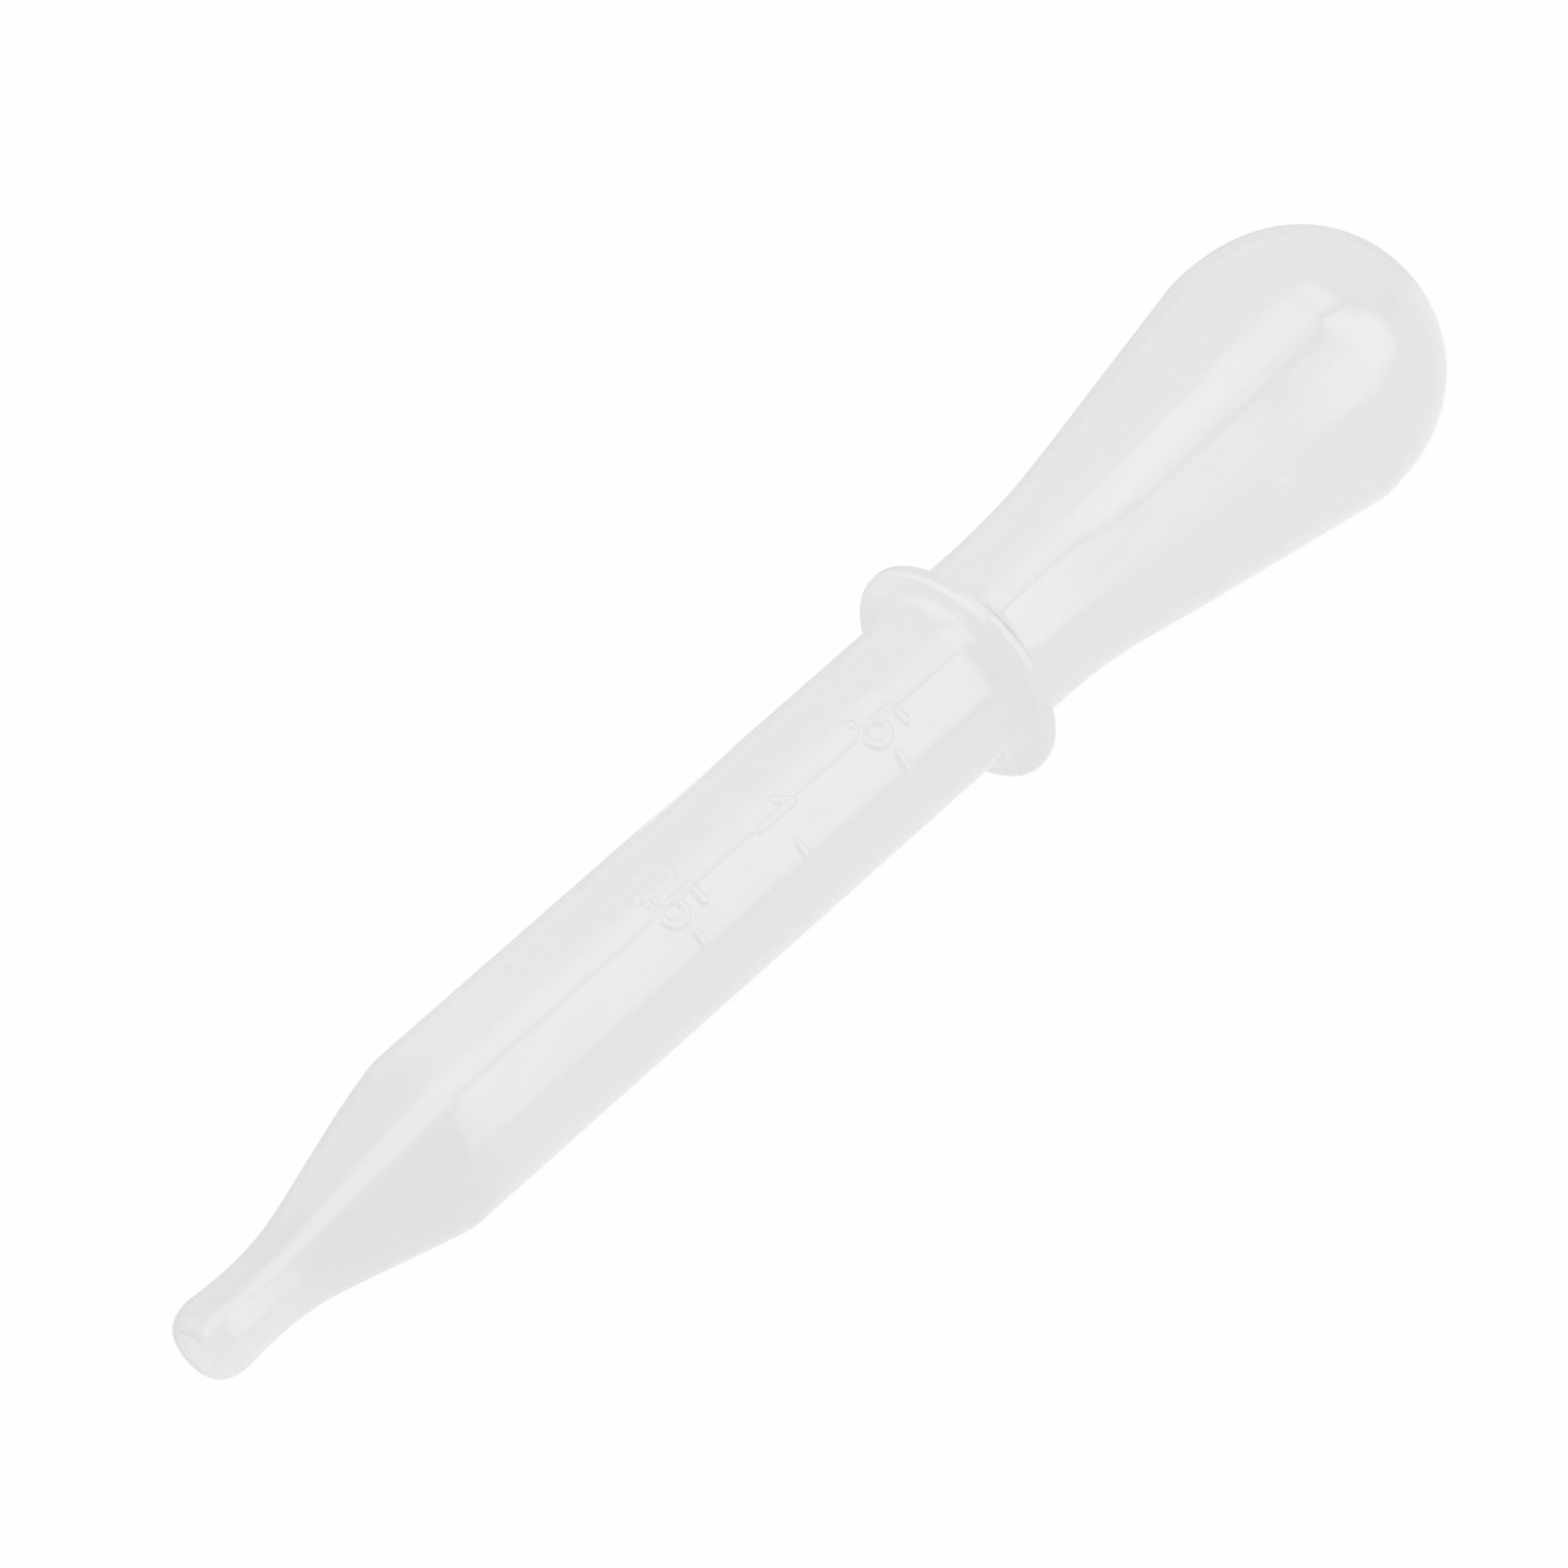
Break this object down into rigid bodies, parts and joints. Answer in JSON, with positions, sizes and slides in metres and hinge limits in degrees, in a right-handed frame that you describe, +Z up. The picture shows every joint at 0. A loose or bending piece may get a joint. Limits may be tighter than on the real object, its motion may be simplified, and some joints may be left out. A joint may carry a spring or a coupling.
{
  "type": "plastic dropper pipette",
  "caption": "Blown plastic dropper pipette with a squeeze bulb, a thin seating flange, a straight stem with raised volume marks and a taper to an open nozzle.",
  "frame": {"origin": "on the dropper's axis, at the top of the straight stem, where the fillet of the flange begins", "axes": "+X along the axis towards the bulb, -X towards the nozzle, +Z up as the dropper lies on its side; the volume marks face up and towards -Y"},
  "size_m": [0.0966, 0.0168, 0.0168],
  "materials": {
    "polyethylene": "natural low-density polyethylene, milky and see-through, with a soft semi-gloss blown skin"
  },
  "bodies": {
    "root": {"dropper": "polyethylene"}
  },
  "joints": []
}
